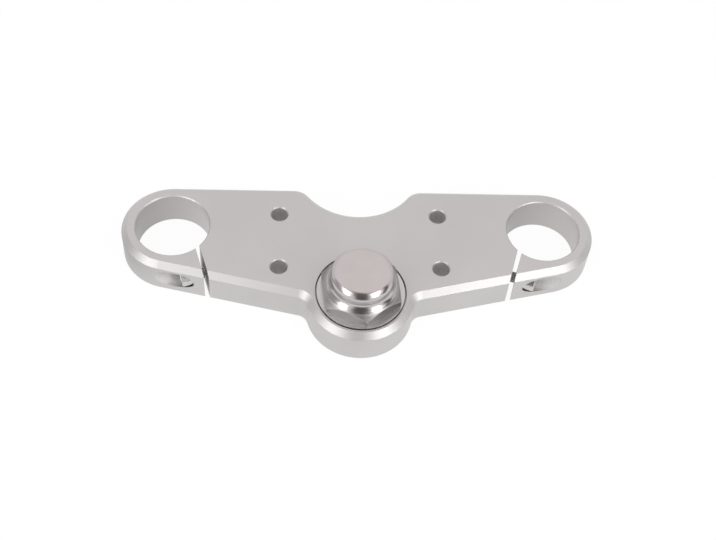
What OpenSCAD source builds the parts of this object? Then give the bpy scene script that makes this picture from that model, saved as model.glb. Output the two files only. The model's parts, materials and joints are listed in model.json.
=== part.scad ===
// Motorcycle top triple clamp: one billet body with two split fork clamps,
// a polished cap nut and washer on the steering stem, and two pinch bolts.
// X is across the bike, +Y points ahead to the forks, +Z is up.
// The origin is the stem axis on the flat bottom face.

/* [Body] */
// thickness of the billet
thickness = 21.5; // [15:0.1:30]
// distance between the two fork centres
fork_spacing = 207; // [180:0.5:250]
// how far the fork centres sit ahead of the stem
fork_offset = 43; // [25:0.5:60]
// bore of each fork clamp
fork_bore_d = 41; // [35:0.1:50]
// outside of each fork clamp
ring_d = 56.5; // [50:0.1:70]
// outside of the boss around the stem
boss_d = 58.6; // [50:0.1:70]
// angle of the near edge of each arm
arm_slope = 13.1; // [5:0.1:20]
// fillet between the boss and each arm
arm_fillet = 7; // [3:0.5:12]
// width and height of the bevel round the top outline
top_bevel = 3.3; // [1:0.1:5]
// width and height of the bevel round the bottom outline
bottom_bevel = 1; // [0.5:0.1:2]

/* [Scallop in the far edge] */
// radius of the scallop
scallop_r = 36; // [25:0.5:50]
// distance from the stem axis to the deepest point of the scallop
scallop_reach = 53.2; // [45:0.1:65]
// rounding where the scallop meets the straight edge
scallop_corner = 10; // [4:0.5:15]

/* [Riser holes] */
// diameter of the four handlebar riser holes
riser_hole_d = 9.5; // [8:0.1:13]
// distance across the bike between the hole pairs
riser_width = 88.9; // [70:0.1:110]
// distance between the two holes of one pair
riser_pitch = 36; // [25:0.5:50]
// distance from the stem axis to the near holes
riser_near = 15.9; // [10:0.1:30]

/* [Stem] */
// bore for the steering stem
stem_bore_d = 25.4; // [20:0.1:32]
// diameter of the washer recess
recess_d = 49.6; // [40:0.1:54]
// depth of the washer recess
recess_depth = 3; // [1:0.1:6]
// gap between the washer and the wall of its recess
washer_gap = 0.9; // [0.2:0.1:1.5]
// distance across the flats of the nut
nut_flats = 40.2; // [30:0.1:46]
// height of the hexagon of the nut
nut_hex_h = 10.4; // [6:0.1:16]
// turn of the hexagon about the stem
nut_turn = 36.8; // [0:0.1:60]
// diameter of the round cap of the nut
cap_d = 34.2; // [25:0.1:42]
// height of the whole nut
nut_h = 19.5; // [14:0.1:30]
// rounding of the cap's shoulder
cap_round = 4; // [1:0.1:8]
// fillet between the cap and the cone that trims the hexagon
cap_fillet = 4; // [1:0.1:6]

/* [Fork pinch] */
// width of the slit in each fork clamp
slit_w = 2.5; // [1.5:0.1:4]
// turn of the slit from straight fore and aft
slit_turn = 16.5; // [0:0.5:30]
// distance from the fork axis to the middle of the slit
slit_side = 9.75; // [5:0.05:15]
// distance of the pinch bolt axis beyond the outside of the fork clamp
bolt_out = 0.25; // [-1:0.05:3]
// diameter of the pinch bolt shank
bolt_d = 6; // [5:1:8]
// length of the pinch bolt under its head
bolt_length = 20; // [14:1:30]
// diameter of the pinch bolt head
head_d = 10; // [8:0.1:14]
// length of the pinch bolt head
head_h = 6; // [4:0.1:9]
// size of the hexagon socket in the head
socket_flats = 5; // [3:1:6]
// diameter of the pocket that the head sits in
pocket_d = 12; // [10:0.1:15]
// position of the head seat along the bolt, from the fork axis
seat_side = 3.3; // [2:0.1:6]

/* [Small edges] */
// bevel on the rims of the holes
rim_bevel = 0.3; // [0.2:0.1:1]

/* [Hidden] */
$fn = 96;
over = 1;
play = 0.1;
// at each bend one edge stands this little past the next, so that the two cross in a clean line
hair = 0.005;
// how far the straight bevels run on round the fork clamps
run_on = 3;
fork_x = fork_spacing / 2;
ring_r = ring_d / 2;
clamp_r = ring_r + hair;
boss_r = boss_d / 2;
far_y = fork_offset + ring_r;
mid_z = thickness / 2;
// near edge of the right arm: unit normal, unit direction and distance from the stem
near_n = [sin(arm_slope), -cos(arm_slope)];
near_t = [cos(arm_slope), sin(arm_slope)];
near_gap = fork_x * near_n[0] + fork_offset * near_n[1] + ring_r;
ring_tangent = [fork_x, fork_offset] + ring_r * near_n;
// fillet between the boss and the arm
fillet_cut_r = arm_fillet + hair;
fillet_out = near_gap + arm_fillet;
fillet_along = sqrt(pow(boss_r + arm_fillet, 2) - pow(fillet_out, 2));
fillet_c = fillet_out * near_n + fillet_along * near_t;
fillet_on_arm = fillet_c - arm_fillet * near_n;
fillet_on_boss = fillet_c * boss_r / (boss_r + arm_fillet);
boss_turn = atan2(fillet_c[1], fillet_c[0]);
// scallop and its rounded corners
scallop_y = scallop_reach + scallop_r;
scallop_cut_r = scallop_r + hair;
corner_y = far_y - scallop_corner + hair;
corner_drop = scallop_y - corner_y;
corner_x = sqrt(pow(scallop_r + scallop_corner, 2) - pow(corner_drop, 2));
corner_share = scallop_r / (scallop_r + scallop_corner);
corner_foot = [corner_x * corner_share, scallop_y - corner_drop * corner_share];
corner_turn = atan2(corner_drop, corner_x);
// fork pinch
bolt_reach = ring_r + bolt_out;
head_end = head_h - seat_side;
shank_end = -seat_side - bolt_length;
tap_end = shank_end - 3;
clear_d = bolt_d + 0.6;
tap_d = bolt_d + 2 * play;
// stem stack
washer_bottom = thickness - recess_depth;
washer_d = recess_d - 2 * washer_gap;
washer_hole_d = stem_bore_d + 0.6;
corner_r = nut_flats / 2 / cos(30);
cap_r = cap_d / 2;
foot_run = cap_fillet * tan(22.5);
foot_z = nut_hex_h + foot_run;
foot_on_cone = [cap_r, nut_hex_h] + foot_run * [cos(45), -sin(45)];
nut_bore_h = 15;

// Both halves of something drawn for the right side.
module both_sides() {
    children();
    mirror([1, 0, 0]) children();
}

// The same points on the left side, in the order that keeps the outline running one way.
function left_of(points) = [for (i = [len(points) - 1 : -1 : 0]) [-points[i][0], points[i][1]]];

// The sharp tip that the rounded scallop corner takes away.
module corner_tip(side) {
    tip = [[corner_x, corner_y], [corner_x, far_y + over], [0, far_y + over], corner_foot];
    difference() {
        polygon(side > 0 ? tip : left_of(tip));
        translate([side * corner_x, corner_y]) circle(r = scallop_corner);
    }
}

// The plan outline without its bevels.
module outline() {
    web = [fillet_on_boss, fillet_c, fillet_on_arm, ring_tangent, [fork_x, fork_offset],
        [fork_x, far_y]];
    difference() {
        union() {
            polygon(concat(web, left_of(web)));
            circle(r = boss_r);
            translate([fork_x, fork_offset]) circle(r = clamp_r);
            translate([-fork_x, fork_offset]) circle(r = clamp_r);
        }
        translate([0, scallop_y]) circle(r = scallop_cut_r);
        translate(fillet_c) circle(r = fillet_cut_r);
        translate([-fillet_c[0], fillet_c[1]]) circle(r = fillet_cut_r);
        corner_tip(1);
        corner_tip(-1);
    }
}

// Profile that takes a 45 degree bevel off the top and bottom edge; x = 0 is the wall, +x is air.
module bevel_profile() {
    polygon([[-top_bevel - over, thickness + over], [over, thickness - top_bevel - over],
        [over, thickness + over]]);
    polygon([[-bottom_bevel - over, -over], [over, bottom_bevel + over], [over, -over]]);
}

// Bevel along a straight edge from p to q, with the air on its left.
module bevel_line(p, q) {
    run = q - p;
    translate([p[0], p[1], 0]) rotate([0, 0, atan2(run[1], run[0])]) rotate([90, 0, 90])
        linear_extrude(norm(run)) bevel_profile();
}

// Bevel round the outside of an arc.
module bevel_round(centre, r, from, to) {
    translate([centre[0], centre[1], 0]) rotate([0, 0, from]) rotate_extrude(angle = to - from)
        translate([r, 0]) bevel_profile();
}

// Bevel round the inside of a round cut-out.
module bevel_hollow(centre, r) {
    translate([centre[0], centre[1], 0]) rotate_extrude() translate([r, 0]) mirror([1, 0])
        bevel_profile();
}

// A round hole with a small bevel on both rims.
module rimmed_hole(d, h) {
    r = d / 2;
    rotate_extrude() polygon([[0, -over], [r + rim_bevel + over, -over], [r, rim_bevel],
        [r, h - rim_bevel], [r + rim_bevel + over, h + over], [0, h + over]]);
}

// Places children in the frame of the right fork clamp: -Y runs out along the slit,
// +X along the pinch bolt towards its head.
module at_pinch() {
    translate([fork_x, fork_offset, 0]) rotate([0, 0, -slit_turn]) children();
}

// Places children on the pinch bolt axis, with +Z towards the head.
module at_bolt() {
    at_pinch() translate([0, -bolt_reach, mid_z]) rotate([0, 90, 0]) children();
}

module pinch_cuts() {
    at_pinch() translate([-slit_side - slit_w / 2, -ring_d, -over])
        cube([slit_w, ring_d - fork_bore_d / 4, thickness + 2 * over]);
    at_bolt() {
        translate([0, 0, -seat_side]) cylinder(d = pocket_d, h = ring_d);
        translate([0, 0, -slit_side]) cylinder(d = clear_d, h = slit_side);
        translate([0, 0, tap_end]) cylinder(d = tap_d, h = -slit_side - tap_end);
    }
}

// The billet with its bevelled edges, before any hole is cut.
module billet() {
    difference() {
        linear_extrude(thickness) outline();
        both_sides() {
            bevel_round([fork_x, fork_offset], clamp_r, arm_slope - 90, 90);
            bevel_round([corner_x, corner_y], scallop_corner, 90, 180 - corner_turn);
            bevel_line(ring_tangent + run_on * near_t, fillet_on_arm);
            bevel_hollow(fillet_c, fillet_cut_r);
        }
        bevel_line([-fork_x - run_on, far_y], [fork_x + run_on, far_y]);
        bevel_hollow([0, scallop_y], scallop_cut_r);
        bevel_round([0, 0], boss_r, 180 - boss_turn, 360 + boss_turn);
    }
}

module clamp_body() {
    color("silver") difference() {
        billet();
        both_sides() {
            translate([fork_x, fork_offset, 0]) rimmed_hole(fork_bore_d, thickness);
            translate([riser_width / 2, riser_near, 0]) rimmed_hole(riser_hole_d, thickness);
            translate([riser_width / 2, riser_near + riser_pitch, 0])
                rimmed_hole(riser_hole_d, thickness);
            pinch_cuts();
        }
        translate([0, 0, washer_bottom]) cylinder(d = recess_d, h = recess_depth + over);
        translate([0, 0, -over]) cylinder(d = stem_bore_d, h = thickness);
    }
}

module stem_washer() {
    color("gainsboro") translate([0, 0, washer_bottom]) difference() {
        cylinder(d = washer_d, h = recess_depth);
        translate([0, 0, -over]) cylinder(d = washer_hole_d, h = recess_depth + 2 * over);
    }
}

// Turned profile of the cap nut: a 45 degree cone, a fillet, the wall of the cap and its shoulder.
module nut_profile() {
    difference() {
        polygon([[0, 0], [cap_r + nut_hex_h, 0], foot_on_cone, [cap_r, foot_z], [cap_r, nut_h],
            [0, nut_h]]);
        translate([cap_r + cap_fillet, foot_z]) circle(r = cap_fillet + hair);
        translate([cap_r - cap_round, nut_h - cap_round]) square(cap_round + over);
    }
    translate([cap_r - cap_round, nut_h - cap_round]) intersection() {
        circle(r = cap_round);
        square(cap_round);
    }
}

module stem_nut() {
    color("white") translate([0, 0, thickness]) difference() {
        intersection() {
            rotate_extrude() nut_profile();
            translate([0, 0, -over]) rotate([0, 0, nut_turn])
                cylinder(r = corner_r, h = nut_h + 2 * over, $fn = 6);
        }
        translate([0, 0, -over]) cylinder(d = stem_bore_d, h = nut_bore_h + over);
    }
}

module pinch_bolt() {
    color("dimgray") at_bolt() difference() {
        union() {
            translate([0, 0, shank_end]) cylinder(d = bolt_d, h = bolt_length);
            translate([0, 0, -seat_side]) cylinder(d = head_d, h = head_h - 0.5);
            translate([0, 0, head_end - 0.5]) cylinder(d1 = head_d, d2 = head_d - 1, h = 0.5);
        }
        translate([0, 0, head_end - 3]) cylinder(d = socket_flats / cos(30), h = 3 + over, $fn = 6);
    }
}

module pinch_bolt_right() {
    pinch_bolt();
}

module pinch_bolt_left() {
    mirror([1, 0, 0]) pinch_bolt();
}

clamp_body();
stem_washer();
stem_nut();
pinch_bolt_left();
pinch_bolt_right();
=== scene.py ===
"""A machined motorcycle triple clamp lying on a pale table under soft studio light."""

import json
import math

import bpy
from mathutils import Matrix, Quaternion, Vector


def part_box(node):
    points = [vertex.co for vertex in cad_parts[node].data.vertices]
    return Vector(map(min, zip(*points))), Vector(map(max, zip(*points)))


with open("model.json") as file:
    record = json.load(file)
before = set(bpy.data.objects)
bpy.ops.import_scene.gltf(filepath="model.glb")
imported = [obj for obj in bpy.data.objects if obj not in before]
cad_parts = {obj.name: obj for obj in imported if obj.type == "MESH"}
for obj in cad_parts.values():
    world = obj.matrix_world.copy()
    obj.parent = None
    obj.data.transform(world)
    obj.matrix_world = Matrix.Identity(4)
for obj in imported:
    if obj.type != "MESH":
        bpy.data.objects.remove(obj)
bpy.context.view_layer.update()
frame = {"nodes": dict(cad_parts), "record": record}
scene = bpy.context.scene
scene.view_settings.view_transform = "Standard"
nodes = frame["nodes"]

MM = 0.001


def mount_named(name):
    """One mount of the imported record."""
    return next(mount for mount in frame["record"]["mounts"] if mount["name"] == name)


fork_clamp = mount_named("fork_clamp_right")
riser_holes = mount_named("riser_holes")

# Sizes and places that the finishes follow, in millimetres and for the right half. The turn of
# the bolt is in degrees, and BOLT_FROM_FORK is the distance between the bolt's and the fork's axes.
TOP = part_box("clamp_body")[1][2] / MM
FORK_X = fork_clamp["pos_m"][0] / MM
FORK_Y = fork_clamp["pos_m"][1] / MM
FORK_BORE_R = fork_clamp["dims"]["r_mm"]
RISER_X = riser_holes["dims"]["spacing_x_mm"] / 2
RISER_PITCH = riser_holes["dims"]["spacing_y_mm"]
RISER_NEAR_Y = riser_holes["pos_m"][1] / MM - RISER_PITCH / 2
RISER_FAR_Y = RISER_NEAR_Y + RISER_PITCH
RISER_R = riser_holes["dims"]["hole_r_mm"]
BOLT_TURN = 16.5
BOLT_FROM_FORK = 28.5
BOLT_X = FORK_X - BOLT_FROM_FORK * math.sin(math.radians(BOLT_TURN))
BOLT_Y = FORK_Y - BOLT_FROM_FORK * math.cos(math.radians(BOLT_TURN))
BOLT_Z = TOP / 2
BOLT_R = 3.0
SOCKET_R = 2.9
POCKET_R = 6.0
THREAD_PITCH = 1.0
CAP_R = 17.1


def wire(tree, source, target):
    tree.links.new(source, target)


def new_material(name):
    """A material with an empty tree, its Principled shader and its output."""
    material = bpy.data.materials.new(name)
    material.use_nodes = True
    tree = material.node_tree
    tree.nodes.clear()
    output = tree.nodes.new("ShaderNodeOutputMaterial")
    shader = tree.nodes.new("ShaderNodeBsdfPrincipled")
    wire(tree, shader.outputs["BSDF"], output.inputs["Surface"])
    return material, tree, shader, output


def new_metal(name):
    material, tree, shader, _ = new_material(name)
    shader.inputs["Metallic"].default_value = 1.0
    return material, tree, shader


def object_place(tree):
    return tree.nodes.new("ShaderNodeTexCoord").outputs["Object"]


def split(tree, vector):
    """The X, Y and Z of a vector."""
    node = tree.nodes.new("ShaderNodeSeparateXYZ")
    wire(tree, vector, node.inputs["Vector"])
    return node.outputs


def joined(tree, x, y, z=None):
    """A vector from its parts, level where Z is left out."""
    node = tree.nodes.new("ShaderNodeCombineXYZ")
    for value, socket in zip((x, y, z), node.inputs):
        if value is not None:
            wire(tree, value, socket)
    return node.outputs["Vector"]


def facing(tree, axis):
    """The share of the surface direction along an axis: Z is 1 on a level top, 0 on a wall."""
    return split(tree, tree.nodes.new("ShaderNodeTexCoord").outputs["Normal"])[axis]


def sideways(tree):
    """The distance to the right of the middle plane, in metres."""
    return split(tree, object_place(tree))["X"]


def vector_math(tree, operation, first, second=None):
    node = tree.nodes.new("ShaderNodeVectorMath")
    node.operation = operation
    wire(tree, first, node.inputs[0])
    if isinstance(second, tuple):
        node.inputs[1].default_value = second
    elif second is not None:
        wire(tree, second, node.inputs[1])
    return node.outputs


def length_of(tree, vector):
    return vector_math(tree, "LENGTH", vector)["Value"]


def math_node(tree, operation, first, second=None):
    node = tree.nodes.new("ShaderNodeMath")
    node.operation = operation
    for value, socket in ((first, node.inputs[0]), (second, node.inputs[1])):
        if isinstance(value, (int, float)):
            socket.default_value = value
        elif value is not None:
            wire(tree, value, socket)
    return node.outputs[0]


def multiplied(tree, first, second):
    return math_node(tree, "MULTIPLY", first, second)


def added(tree, *values):
    total = values[0]
    for value in values[1:]:
        total = math_node(tree, "ADD", total, value)
    return total


def noise(tree, vector, scale, detail=2.0, roughness=0.5):
    node = tree.nodes.new("ShaderNodeTexNoise")
    node.inputs["Detail"].default_value = detail
    node.inputs["Roughness"].default_value = roughness
    if isinstance(scale, float):
        node.inputs["Scale"].default_value = scale
    else:
        wire(tree, scale, node.inputs["Scale"])
    wire(tree, vector, node.inputs["Vector"])
    return node.outputs["Fac"]


def remap(tree, value, low, high, to_low=0.0, to_high=1.0, smooth=False):
    node = tree.nodes.new("ShaderNodeMapRange")
    if smooth:
        node.interpolation_type = "SMOOTHSTEP"
    node.inputs["From Min"].default_value = low
    node.inputs["From Max"].default_value = high
    node.inputs["To Min"].default_value = to_low
    node.inputs["To Max"].default_value = to_high
    wire(tree, value, node.inputs["Value"])
    return node.outputs["Result"]


def over_length(tree, length, start, end, at_start=0.0, at_end=1.0):
    """A share that changes from start to end, both in millimetres."""
    return remap(tree, length, start * MM, end * MM, at_start, at_end)


def between(tree, mask, low, high):
    """A number that goes from low to high as the mask goes from 0 to 1."""
    return remap(tree, mask, 0.0, 1.0, low, high)


def mixed(tree, mask, first, second):
    """A number that goes from one wired value to another as the mask goes from 0 to 1."""
    node = tree.nodes.new("ShaderNodeMix")
    for value, socket in ((mask, node.inputs[0]), (first, node.inputs[2]), (second, node.inputs[3])):
        wire(tree, value, socket)
    return node.outputs[0]


def tint(tree, mask, first, second):
    """A colour that goes from first to second as the mask goes from 0 to 1."""
    node = tree.nodes.new("ShaderNodeMix")
    node.data_type = "RGBA"
    wire(tree, mask, node.inputs["Factor"])
    for value, socket in ((first, node.inputs[6]), (second, node.inputs[7])):
        if isinstance(value, tuple):
            socket.default_value = (*value, 1.0)
        else:
            wire(tree, value, socket)
    return node.outputs[2]


def bump(tree, height, distance, under=None):
    """A surface direction over marks that are as deep as distance, in millimetres."""
    node = tree.nodes.new("ShaderNodeBump")
    node.inputs["Distance"].default_value = distance * MM
    wire(tree, height, node.inputs["Height"])
    if under is not None:
        wire(tree, under, node.inputs["Normal"])
    return node.outputs["Normal"]


def shared_effect(name, inputs, outputs):
    """An empty node group with named sockets, and its two end nodes."""
    group = bpy.data.node_groups.new(name, "ShaderNodeTree")
    for label, kind in inputs:
        group.interface.new_socket(label, in_out="INPUT", socket_type=kind)
    for label, kind in outputs:
        group.interface.new_socket(label, in_out="OUTPUT", socket_type=kind)
    return group, group.nodes.new("NodeGroupInput").outputs, group.nodes.new("NodeGroupOutput").inputs


def place_effect(tree, group, **values):
    """The group in a material, with each input wired or set."""
    node = tree.nodes.new("ShaderNodeGroup")
    node.node_tree = group
    for label, value in values.items():
        socket = node.inputs[label]
        if isinstance(value, (int, float)):
            socket.default_value = value
        else:
            wire(tree, value, socket)
    return node.outputs


# The noise values that count as 0 and as 1, in soft clouds and in fine marks.
CLOUD_SPAN = (0.35, 0.65)
MARK_SPAN = (0.25, 0.75)


def make_metal_grain():
    """Faint clouds in the tone and a fine blasted grain, both from 0 to 1."""
    group, given, result = shared_effect(
        "metal grain",
        [("Place", "NodeSocketVector"), ("Clouds", "NodeSocketFloat"), ("Grains", "NodeSocketFloat")],
        [("Tone", "NodeSocketFloat"), ("Grain", "NodeSocketFloat")],
    )
    clouds = noise(group, given["Place"], given["Clouds"], detail=3.0)
    grain = noise(group, given["Place"], given["Grains"], roughness=0.6)
    wire(group, remap(group, clouds, *CLOUD_SPAN), result["Tone"])
    wire(group, remap(group, grain, *MARK_SPAN), result["Grain"])
    return group


def make_turning_marks():
    """Uneven rings round the Z axis of Place, as a lathe leaves on faces, walls and cones."""
    group, given, result = shared_effect(
        "turning marks",
        [("Place", "NodeSocketVector"), ("Rings", "NodeSocketFloat")],
        [("Marks", "NodeSocketFloat"), ("Radius", "NodeSocketFloat"), ("Height", "NodeSocketFloat")],
    )
    parts = split(group, given["Place"])
    radius = length_of(group, joined(group, parts["X"], parts["Y"]))
    rings = group.nodes.new("ShaderNodeTexNoise")
    rings.noise_dimensions = "1D"
    rings.inputs["Detail"].default_value = 2.0
    wire(group, math_node(group, "SUBTRACT", radius, parts["Z"]), rings.inputs["W"])
    wire(group, given["Rings"], rings.inputs["Scale"])
    wire(group, remap(group, rings.outputs["Fac"], *MARK_SPAN), result["Marks"])
    wire(group, radius, result["Radius"])
    wire(group, parts["Z"], result["Height"])
    return group


# How well the rounded direction agrees with the true one beside an edge and on it.
AGREES_BESIDE_EDGE = 0.998
AGREES_ON_EDGE = 0.96
EDGE_SAMPLES = 4


def make_broken_edge():
    """The surface direction with sharp edges rounded by a small radius, and where they are."""
    group, given, result = shared_effect(
        "broken edge",
        [("Radius", "NodeSocketFloat")],
        [("Normal", "NodeSocketVector"), ("Edge", "NodeSocketFloat")],
    )
    edge = group.nodes.new("ShaderNodeBevel")
    edge.samples = EDGE_SAMPLES
    wire(group, given["Radius"], edge.inputs["Radius"])
    surface = group.nodes.new("ShaderNodeNewGeometry").outputs["Normal"]
    likeness = vector_math(group, "DOT_PRODUCT", edge.outputs["Normal"], surface)["Value"]
    wire(group, edge.outputs["Normal"], result["Normal"])
    wire(group, remap(group, likeness, AGREES_BESIDE_EDGE, AGREES_ON_EDGE), result["Edge"])
    return group


METAL_GRAIN = make_metal_grain()
TURNING_MARKS = make_turning_marks()
BROKEN_EDGE = make_broken_edge()


def mirrored_place(tree):
    """Object coordinates with the left half folded onto the right."""
    parts = split(tree, object_place(tree))
    return joined(tree, math_node(tree, "ABSOLUTE", parts["X"]), parts["Y"], parts["Z"])


def bolt_place(tree, place, side=1.0):
    """Coordinates round the bolt on the right, at 1, or on the left, at -1, with Z along it."""
    mapping = tree.nodes.new("ShaderNodeMapping")
    mapping.vector_type = "TEXTURE"
    mapping.inputs["Location"].default_value = (side * BOLT_X * MM, BOLT_Y * MM, BOLT_Z * MM)
    turn = (0.0, side * 90.0, -side * BOLT_TURN)
    mapping.inputs["Rotation"].default_value = tuple(math.radians(angle) for angle in turn)
    wire(tree, place, mapping.inputs["Vector"])
    return mapping.outputs["Vector"]


# A bore's rim has a chamfer, with worn metal on its crest and down its throat. The wall's own
# finish starts a little outside the bore and at a share of the way down the worn throat.
# Lengths are in millimetres, and rings are counted per metre.
RIM_BEVEL = 0.3
CREST_WEAR = 0.12
THROAT_WEAR = 0.5
RIM_WEAR = CREST_WEAR + THROAT_WEAR
THROAT_MARKED_FROM = 0.7
WALL_STARTS = 0.5
WALL_FULL = 0.2
BORE_RINGS = 2600.0


def in_bore(tree, place, x, y, radius):
    """A bore on both halves: its wall as 1, its worn rim as a slope, and the marks on the wall."""
    round_bore = vector_math(tree, "SUBTRACT", place, (x * MM, y * MM, 0.0))["Vector"]
    turned = place_effect(tree, TURNING_MARKS, Place=round_bore, Rings=BORE_RINGS)
    wall = over_length(tree, turned["Radius"], radius + WALL_STARTS, radius + WALL_FULL)
    crest = radius + RIM_BEVEL
    crest_share = CREST_WEAR / RIM_WEAR
    outside = over_length(tree, turned["Radius"], crest, crest + CREST_WEAR, 0.0, crest_share)
    throat = TOP - RIM_BEVEL
    worn_down_to = throat - THROAT_WEAR
    throat_share = THROAT_WEAR / RIM_WEAR
    inside = over_length(tree, turned["Height"], worn_down_to, throat, throat_share, 0.0)
    rim = added(tree, outside, multiplied(tree, inside, wall))
    marked_from = throat - THROAT_MARKED_FROM * THROAT_WEAR
    deep = over_length(tree, turned["Height"], marked_from, worn_down_to)
    return multiplied(tree, wall, deep), rim, turned["Marks"]


POCKET_STARTS = 0.2
POCKET_FULL = 0.05
POCKET_RINGS = 1500.0


def in_pocket(tree, place):
    """1 inside the bolt's pocket and hole, with the marks that the end mill left there."""
    milled = place_effect(tree, TURNING_MARKS, Place=bolt_place(tree, place), Rings=POCKET_RINGS)
    inside = over_length(tree, milled["Radius"], POCKET_R + POCKET_STARTS, POCKET_R + POCKET_FULL)
    return inside, milled["Marks"]


# The billet's tones, from the darkest to the lightest marks. The bores are darker on the side
# that faces right. Edges and depths are in millimetres.
BILLET_TONES = ((0.565, 0.555, 0.55), (0.585, 0.575, 0.57))
BORE_TONES = ((0.48, 0.462, 0.455), (0.54, 0.522, 0.515))
SHADED_BORE_TONES = ((0.34, 0.328, 0.325), (0.39, 0.378, 0.375))
SHADED_FROM, SHADED_TO = -0.6, 1.0
RISER_TONES = ((0.54, 0.525, 0.52), (0.66, 0.645, 0.64))
POCKET_TONES = ((0.56, 0.55, 0.545), (0.66, 0.65, 0.645))
BILLET_ROUGHNESS = (0.49, 0.55)
BORE_ROUGHNESS = (0.30, 0.44)
RISER_ROUGHER = 0.32
POCKET_ROUGHER = 0.1
BILLET_EDGE = 0.08
BLASTED_DEPTH = 0.0015
BORED_DEPTH = 0.006


def satin_billet():
    """Blasted and clear anodised aluminium, with the boring bar's rings in the bores."""
    material, tree, shader = new_metal("satin_billet")
    fine = place_effect(tree, METAL_GRAIN, Place=object_place(tree), Clouds=28.0, Grains=3200.0)
    place = mirrored_place(tree)
    fork, fork_rim, fork_marks = in_bore(tree, place, FORK_X, FORK_Y, FORK_BORE_R)
    near, near_rim, near_marks = in_bore(tree, place, RISER_X, RISER_NEAR_Y, RISER_R)
    far, far_rim, far_marks = in_bore(tree, place, RISER_X, RISER_FAR_Y, RISER_R)
    pocket, pocket_marks = in_pocket(tree, place)
    riser = math_node(tree, "MAXIMUM", near, far)
    bored = math_node(tree, "MAXIMUM", fork, riser)
    marked = ((fork_marks, fork), (near_marks, near), (far_marks, far))
    marks = added(tree, *(multiplied(tree, ring, wall) for ring, wall in marked))
    shaded = remap(tree, facing(tree, "X"), SHADED_FROM, SHADED_TO)
    lit_bore = tint(tree, marks, *BORE_TONES)
    bore_tone = tint(tree, shaded, lit_bore, tint(tree, marks, *SHADED_BORE_TONES))
    tone = tint(tree, bored, tint(tree, fine["Tone"], *BILLET_TONES), bore_tone)
    tone = tint(tree, pocket, tone, tint(tree, pocket_marks, *POCKET_TONES))
    tone = tint(tree, riser, tone, tint(tree, marks, *RISER_TONES))
    wire(tree, tone, shader.inputs["Base Color"])
    blasted = between(tree, fine["Grain"], *BILLET_ROUGHNESS)
    smoothness = mixed(tree, bored, blasted, between(tree, marks, *BORE_ROUGHNESS))
    riser_part = multiplied(tree, riser, RISER_ROUGHER)
    pocket_part = multiplied(tree, pocket, POCKET_ROUGHER)
    wire(tree, added(tree, smoothness, riser_part, pocket_part), shader.inputs["Roughness"])
    edge = place_effect(tree, BROKEN_EDGE, Radius=BILLET_EDGE * MM)["Normal"]
    rims = bump(tree, added(tree, near_rim, far_rim, fork_rim), RIM_WEAR, edge)
    grain = bump(tree, fine["Grain"], BLASTED_DEPTH, rims)
    wire(tree, bump(tree, marks, BORED_DEPTH, grain), shader.inputs["Normal"])
    return material


WASHER_RING_TONES = ((0.54, 0.53, 0.525), (0.60, 0.59, 0.585))
WASHER_WORN_TONE = (0.56, 0.55, 0.545)
WASHER_ROUGHNESS = (0.20, 0.32)
WASHER_EDGE = 0.15
WASHER_RING_DEPTH = 0.004


def turned_washer():
    """Plated steel faced on a lathe, with rings from the tool."""
    material, tree, shader = new_metal("turned_washer")
    fine = place_effect(tree, METAL_GRAIN, Place=object_place(tree), Clouds=90.0, Grains=2200.0)
    turned = place_effect(tree, TURNING_MARKS, Place=object_place(tree), Rings=5200.0)
    rings = tint(tree, turned["Marks"], *WASHER_RING_TONES)
    wire(tree, tint(tree, fine["Tone"], WASHER_WORN_TONE, rings), shader.inputs["Base Color"])
    wire(tree, between(tree, turned["Marks"], *WASHER_ROUGHNESS), shader.inputs["Roughness"])
    edge = place_effect(tree, BROKEN_EDGE, Radius=WASHER_EDGE * MM)["Normal"]
    wire(tree, bump(tree, turned["Marks"], WASHER_RING_DEPTH, edge), shader.inputs["Normal"])
    return material


# The nut's finishes change with the distance from its axis, in millimetres: a polished cap,
# a cut cone from the first span on and a dull chamfer from the second. Flats are the parts
# whose direction has a small share of Z, in a lit tone on the left and in painted shade on
# the right.
CONE_SPAN = (CAP_R + 0.2, CAP_R + 1.5)
DULL_SPAN = (CAP_R + 2.0, CAP_R + 3.2)
FLAT_SPAN = (0.25, 0.1)
FLAT_SHADE_SPAN = (-2.0, 12.0)
POLISHED_TONES = ((0.545, 0.515, 0.51), (0.57, 0.54, 0.535))
CUT_TONES = ((0.38, 0.36, 0.355), (0.60, 0.57, 0.565))
DULL_TONES = ((0.22, 0.21, 0.205), (0.40, 0.385, 0.38))
LIT_FLAT_TONES = ((0.40, 0.39, 0.385), (0.46, 0.45, 0.445))
SHADED_FLAT_TONES = ((0.15, 0.14, 0.14), (0.19, 0.18, 0.178))
# The nut's edges are painted lighter: a painted highlight along them, partly worn metal.
EDGE_HIGHLIGHT_AND_WEAR = (0.66, 0.645, 0.64)
NUT_ROUGHNESS = (0.18, 0.22)
DULL_ROUGHER = 0.25
NUT_EDGE = 0.35
RIPPLE_DEPTH = 0.16


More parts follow.
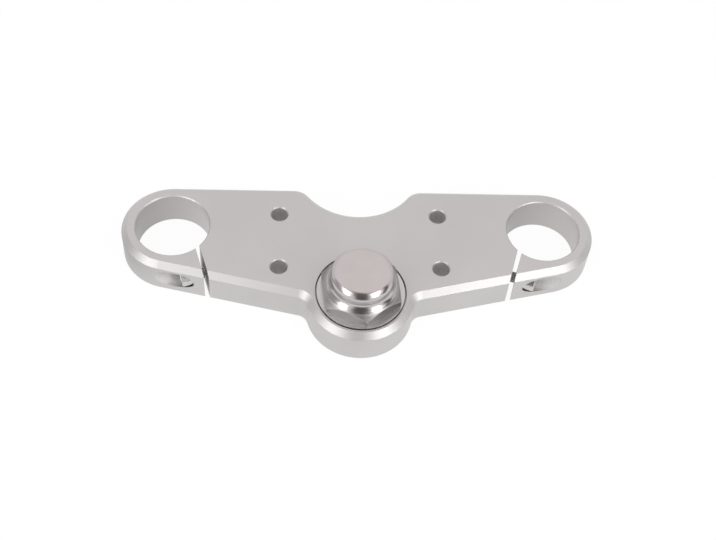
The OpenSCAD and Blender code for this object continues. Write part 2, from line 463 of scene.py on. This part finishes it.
def polished_nut():
    """Chromed cap nut: a mirror on the cap, rings on the cone and brushed spanner flats."""
    material, tree, shader = new_metal("polished_nut")
    fine = place_effect(tree, METAL_GRAIN, Place=object_place(tree), Clouds=70.0, Grains=1500.0)
    turned = place_effect(tree, TURNING_MARKS, Place=object_place(tree), Rings=420.0)
    cone = over_length(tree, turned["Radius"], *CONE_SPAN)
    dull = over_length(tree, turned["Radius"], *DULL_SPAN)
    upright = remap(tree, math_node(tree, "ABSOLUTE", facing(tree, "Z")), *FLAT_SPAN)
    polished = tint(tree, fine["Tone"], *POLISHED_TONES)
    turned_tone = tint(tree, cone, polished, tint(tree, turned["Marks"], *CUT_TONES))
    turned_tone = tint(tree, dull, turned_tone, tint(tree, turned["Marks"], *DULL_TONES))
    # Painted light and shade on the spanner flats: a lit tone on the left, painted shade on the
    # right.
    lit_flat = tint(tree, fine["Grain"], *LIT_FLAT_TONES)
    shaded_flat = tint(tree, fine["Grain"], *SHADED_FLAT_TONES)
    flat_tone = tint(tree, over_length(tree, sideways(tree), *FLAT_SHADE_SPAN), lit_flat, shaded_flat)
    tone = tint(tree, multiplied(tree, cone, upright), turned_tone, flat_tone)
    rounded = place_effect(tree, BROKEN_EDGE, Radius=NUT_EDGE * MM)
    # Edges painted lighter: a painted highlight, partly edge wear.
    wire(tree, tint(tree, rounded["Edge"], tone, EDGE_HIGHLIGHT_AND_WEAR), shader.inputs["Base Color"])
    smoothness = between(tree, fine["Grain"], *NUT_ROUGHNESS)
    dull_part = multiplied(tree, dull, DULL_ROUGHER)
    wire(tree, added(tree, smoothness, dull_part), shader.inputs["Roughness"])
    ripple = multiplied(tree, turned["Marks"], cone)
    wire(tree, bump(tree, ripple, RIPPLE_DEPTH, rounded["Normal"]), shader.inputs["Normal"])
    return material


# The bolt's shank and socket are told from its head by the distance from its axis, in
# millimetres. The height of the thread runs from -1 at its root to 1 at its crest.
SHANK_SPAN = (BOLT_R + 0.12, BOLT_R + 0.06)
SOCKET_SPAN = (SOCKET_R, SOCKET_R - 0.1)
ROOT_SHADE_SPAN = (0.2, -0.9)
PLATED_TONES = ((0.56, 0.56, 0.555), (0.62, 0.62, 0.61))
# Painted light: the socket and the shank, which sit in shade, are painted brighter than the head.
PAINTED_LIGHT_PLATING = (0.92, 0.92, 0.91)
# Painted shade: the thread's roots are painted darker.
ROOT_SHADE_TONE = (0.46, 0.46, 0.455)
PLATED_ROUGHNESS = (0.18, 0.28)
SOCKET_ROUGHER = 0.35
BOLT_EDGE = 0.2
TURNED_DEPTH = 0.003
THREAD_DEPTH = 0.12


def zinc_bolt(name, side):
    """Zinc plated bolt: turned head, rolled thread on the shank."""
    material, tree, shader = new_metal(name)
    place = bolt_place(tree, object_place(tree), side)
    fine = place_effect(tree, METAL_GRAIN, Place=place, Clouds=260.0, Grains=3000.0)
    turned = place_effect(tree, TURNING_MARKS, Place=place, Rings=4200.0)
    shank = over_length(tree, turned["Radius"], *SHANK_SPAN)
    socket = over_length(tree, turned["Radius"], *SOCKET_SPAN)
    turns = multiplied(tree, turned["Height"], 2.0 * math.pi / (THREAD_PITCH * MM))
    thread = multiplied(tree, math_node(tree, "SINE", turns), shank)
    # The socket and the shank are painted brighter, as painted light.
    painted_light = math_node(tree, "MAXIMUM", socket, shank)
    plated = tint(tree, painted_light, tint(tree, fine["Tone"], *PLATED_TONES), PAINTED_LIGHT_PLATING)
    # The thread's roots are painted darker, as painted shade.
    root = multiplied(tree, remap(tree, thread, *ROOT_SHADE_SPAN), shank)
    wire(tree, tint(tree, root, plated, ROOT_SHADE_TONE), shader.inputs["Base Color"])
    smoothness = between(tree, fine["Grain"], *PLATED_ROUGHNESS)
    socket_part = multiplied(tree, socket, SOCKET_ROUGHER)
    wire(tree, added(tree, smoothness, socket_part), shader.inputs["Roughness"])
    edge = place_effect(tree, BROKEN_EDGE, Radius=BOLT_EDGE * MM)["Normal"]
    marks = bump(tree, turned["Marks"], TURNED_DEPTH, edge)
    wire(tree, bump(tree, thread, THREAD_DEPTH, marks), shader.inputs["Normal"])
    return material


def put_on(node_name, material):
    mesh = nodes[node_name].data
    mesh.materials.clear()
    mesh.materials.append(material)


put_on("clamp_body", satin_billet())
put_on("stem_washer", turned_washer())
put_on("stem_nut", polished_nut())
put_on("pinch_bolt_left", zinc_bolt("zinc_bolt_left", -1.0))
put_on("pinch_bolt_right", zinc_bolt("zinc_bolt_right", 1.0))

# The photograph's viewpoint. Lengths are in millimetres, the focal length and the image width
# in pixels.
VIEW_ELEVATION = math.radians(54.596)
VIEW_YAW = math.radians(5.623)
VIEW_ROLL = math.radians(5.381)
VIEW_DISTANCE = 707.799
AIM = Vector((0.0, 25.0, TOP))
SHIFT_RIGHT = 1.026
SHIFT_UP = 8.741
FOCAL_PIXELS = 1287.321
IMAGE_WIDTH = 716
SENSOR_WIDTH = 36.0
CLIP_START = 10.0
CLIP_END = 20000.0


def make_camera():
    """A camera turned, tilted and rolled as the photograph's was."""
    turn = Matrix.Rotation(-VIEW_YAW, 3, "Z")
    ahead = Vector((0.0, math.cos(VIEW_ELEVATION), -math.sin(VIEW_ELEVATION)))
    up = Vector((0.0, math.sin(VIEW_ELEVATION), math.cos(VIEW_ELEVATION)))
    right = Vector((1.0, 0.0, 0.0))
    tilted_right = turn @ (math.cos(VIEW_ROLL) * right + math.sin(VIEW_ROLL) * up)
    tilted_up = turn @ (-math.sin(VIEW_ROLL) * right + math.cos(VIEW_ROLL) * up)
    ahead = turn @ ahead
    place = AIM - SHIFT_RIGHT * tilted_right - SHIFT_UP * tilted_up - VIEW_DISTANCE * ahead
    data = bpy.data.cameras.new("photo_camera")
    data.sensor_width = SENSOR_WIDTH
    data.lens = FOCAL_PIXELS * SENSOR_WIDTH / IMAGE_WIDTH
    data.clip_start = CLIP_START * MM
    data.clip_end = CLIP_END * MM
    camera = bpy.data.objects.new("photo_camera", data)
    scene.collection.objects.link(camera)
    pose = Matrix((tilted_right, tilted_up, -ahead)).transposed().to_4x4()
    pose.translation = place * MM
    camera.matrix_world = pose
    scene.camera = camera


def seen_by(tree, *names):
    """1 for the named kinds of rays."""
    rays = tree.nodes.new("ShaderNodeLightPath").outputs
    seen = rays[names[0]]
    for name in names[1:]:
        seen = math_node(tree, "MAXIMUM", seen, rays[name])
    return seen


# The table is measured in metres. The lit paper, with the clamp's shadow on it, has a small
# share in what is seen of the table, and plain white has the rest.
TABLE_SIZE = 6.0
TABLE_BELOW = 0.0002
SHADOW_SHARE = 0.06
PAPER_TONES = ((0.87, 0.87, 0.87), (0.91, 0.91, 0.91))
PAPER_FIBRES = 400.0
PAPER_DEPTH = 0.01
PAPER_ROUGHNESS = 0.9
WHITE = (1.0, 1.0, 1.0)
HOOD_BLACK = (0.12, 0.11, 0.115)
LEFT_SIDE_SHARE = 0.6
WEDGE_SOFTNESS = 3.0
WEDGE_FADE = 1.6


def table_wedge(tree, place, azimuth, half_width, start):
    """1 on the part of the table that lies towards an azimuth, from a distance in metres on."""
    parts = split(tree, place)
    bearing = math_node(tree, "ARCTAN2", parts["X"], multiplied(tree, parts["Y"], -1.0))
    aside = math_node(tree, "SUBTRACT", bearing, math.radians(azimuth))
    inner = math.radians(half_width - WEDGE_SOFTNESS)
    outer = math.radians(half_width + WEDGE_SOFTNESS)
    near_azimuth = remap(tree, math_node(tree, "ABSOLUTE", aside), outer, inner, smooth=True)
    away = remap(tree, length_of(tree, place), start, WEDGE_FADE * start, smooth=True)
    return multiplied(tree, near_azimuth, away)


def paper_material():
    """Pale paper, white to the camera and in the metal, with a faint shadow.

    In the metal alone it also shows the dark feet of the camera's hood and of the side flags.
    """
    material, tree, shader, output = new_material("pale_table")
    shader.inputs["Roughness"].default_value = PAPER_ROUGHNESS
    shader.inputs["Specular IOR Level"].default_value = 0.0
    place = object_place(tree)
    paper = noise(tree, place, PAPER_FIBRES)
    wire(tree, tint(tree, paper, *PAPER_TONES), shader.inputs["Base Color"])
    wire(tree, bump(tree, paper, PAPER_DEPTH), shader.inputs["Normal"])
    hood = table_wedge(tree, place, azimuth=-1.0, half_width=20.0, start=0.085)
    left_side = table_wedge(tree, place, azimuth=-84.0, half_width=22.0, start=0.11)
    right_side = table_wedge(tree, place, azimuth=68.0, half_width=7.0, start=0.13)
    dark = added(tree, hood, multiplied(tree, left_side, LEFT_SIDE_SHARE), right_side)
    dark = multiplied(tree, seen_by(tree, "Is Glossy Ray"), dark)
    shown = tree.nodes.new("ShaderNodeEmission")
    shown.inputs["Strength"].default_value = 1.0
    wire(tree, tint(tree, dark, WHITE, HOOD_BLACK), shown.inputs["Color"])
    seen = seen_by(tree, "Is Camera Ray", "Is Glossy Ray", "Is Transmission Ray")
    blend = tree.nodes.new("ShaderNodeMixShader")
    wire(tree, multiplied(tree, seen, 1.0 - SHADOW_SHARE), blend.inputs["Fac"])
    wire(tree, shader.outputs["BSDF"], blend.inputs[1])
    wire(tree, shown.outputs["Emission"], blend.inputs[2])
    wire(tree, blend.outputs["Shader"], output.inputs["Surface"])
    return material


def make_table():
    """A wide table just under the clamp."""
    bpy.ops.object.select_all(action="DESELECT")
    bpy.ops.mesh.primitive_plane_add(size=TABLE_SIZE, location=(0.0, 0.0, -TABLE_BELOW))
    table = bpy.context.active_object
    table.name = "pale_table"
    table.data.transform(table.matrix_world)
    table.matrix_world = Matrix.Identity(4)
    table.data.materials.append(paper_material())


LAMPS_AIM = Vector((0.0, 0.03, 0.0))


def softbox(name, azimuth, elevation, distance, width, height, lean, power):
    """A rectangular lamp that faces the stem, at azimuth 0 in front and at 90 on the right.

    Lengths are in metres and the power in watts. A positive lean takes its top to the right.
    """
    a, e = math.radians(azimuth), math.radians(elevation)
    towards = Vector((math.sin(a) * math.cos(e), -math.cos(a) * math.cos(e), math.sin(e)))
    data = bpy.data.lights.new(name, "AREA")
    data.shape = "RECTANGLE"
    data.size = width
    data.size_y = height
    data.energy = power
    lamp = bpy.data.objects.new(name, data)
    scene.collection.objects.link(lamp)
    lamp.location = LAMPS_AIM + towards * distance
    lamp.rotation_mode = "QUATERNION"
    upright = (-towards).to_track_quat("-Z", "Y")
    lamp.rotation_quaternion = upright @ Quaternion((0.0, 0.0, 1.0), math.radians(-lean))


# An oval patch fades from its inner to its outer share of the half width and height.
PATCH_INNER = 0.75
PATCH_OUTER = 1.25


def dark_patch(tree, bearing, across, up, half_width, half_height, lean=0.0):
    """1 in an oval patch of the surroundings, with a soft edge. Angles are in degrees."""
    centre = (math.radians(across), math.radians(up), 0.0)
    half_sizes = (math.radians(half_width), math.radians(half_height), 1.0)
    tilt = tree.nodes.new("ShaderNodeVectorRotate")
    tilt.rotation_type = "Z_AXIS"
    tilt.inputs["Angle"].default_value = math.radians(lean)
    wire(tree, vector_math(tree, "SUBTRACT", bearing, centre)["Vector"], tilt.inputs["Vector"])
    shape = vector_math(tree, "DIVIDE", tilt.outputs["Vector"], half_sizes)["Vector"]
    return remap(tree, length_of(tree, shape), PATCH_OUTER, PATCH_INNER, smooth=True)


def background(tree, colour, strength=1.0):
    node = tree.nodes.new("ShaderNodeBackground")
    node.inputs["Strength"].default_value = strength
    if isinstance(colour, tuple):
        node.inputs["Color"].default_value = (*colour, 1.0)
    else:
        wire(tree, colour, node.inputs["Color"])
    return node.outputs["Background"]


def either_background(tree, mask, first, second):
    """The second background where the mask is 1, or else the first."""
    node = tree.nodes.new("ShaderNodeMixShader")
    for value, socket in zip((mask, first, second), node.inputs):
        wire(tree, value, socket)
    return node.outputs["Shader"]


# What the metal shows of the studio, from the horizon up to the height of direction at which
# the ceiling's tone is reached, and the light that the studio gives to all else.
HORIZON_TONE = (0.80, 0.80, 0.80)
CEILING_TONE = (1.0, 0.955, 0.96)
CEILING_FROM_HEIGHT = 0.77
LEFT_FLAG_TONE = (0.48, 0.47, 0.48)
RIGHT_FLAG_TONE = (0.10, 0.09, 0.10)
ROOM_LIGHT = (1.0, 0.995, 0.99)
ROOM_STRENGTH = 0.8


def studio_in_metal(tree):
    """The colour of a pale studio with the camera's dark hood, a grey flag and a black flag."""
    parts = split(tree, tree.nodes.new("ShaderNodeTexCoord").outputs["Generated"])
    ahead = multiplied(tree, parts["Y"], -1.0)
    azimuth = math_node(tree, "ARCTAN2", parts["X"], ahead)
    round_stem = joined(tree, azimuth, math_node(tree, "ARCSINE", parts["Z"]))
    rise = math_node(tree, "ARCTAN2", parts["Z"], ahead)
    over_camera = joined(tree, math_node(tree, "ARCSINE", parts["X"]), rise)
    hood = dark_patch(tree, over_camera, across=-1.0, up=34.0, half_width=20.0, half_height=62.0)
    left_flag = dark_patch(
        tree, round_stem, across=-86.0, up=20.0, half_width=18.0, half_height=42.0, lean=-28.0
    )
    right_flag = dark_patch(
        tree, round_stem, across=79.0, up=20.0, half_width=10.0, half_height=42.0, lean=26.0
    )
    overhead = remap(tree, parts["Z"], 0.0, CEILING_FROM_HEIGHT, smooth=True)
    shown = tint(tree, overhead, HORIZON_TONE, CEILING_TONE)
    shown = tint(tree, hood, shown, HOOD_BLACK)
    shown = tint(tree, left_flag, shown, LEFT_FLAG_TONE)
    return tint(tree, right_flag, shown, RIGHT_FLAG_TONE)


def make_studio():
    """White behind the clamp, a soft light on it, and a studio in its metal."""
    world = bpy.data.worlds.new("studio")
    scene.world = world
    world.use_nodes = True
    tree = world.node_tree
    tree.nodes.clear()
    room = background(tree, ROOM_LIGHT, ROOM_STRENGTH)
    in_metal = background(tree, studio_in_metal(tree))
    lit = either_background(tree, seen_by(tree, "Is Glossy Ray"), room, in_metal)
    behind = seen_by(tree, "Is Camera Ray", "Is Transmission Ray")
    shown = either_background(tree, behind, lit, background(tree, WHITE))
    output = tree.nodes.new("ShaderNodeOutputWorld")
    wire(tree, shown, output.inputs["Surface"])


make_camera()
make_table()
make_studio()
softbox(
    "left_softbox",
    azimuth=-52.0,
    elevation=34.0,
    distance=0.9,
    width=0.29,
    height=1.05,
    lean=-14.0,
    power=3.5,
)
softbox(
    "right_softbox",
    azimuth=43.5,
    elevation=34.0,
    distance=0.9,
    width=0.31,
    height=1.05,
    lean=14.0,
    power=4.0,
)
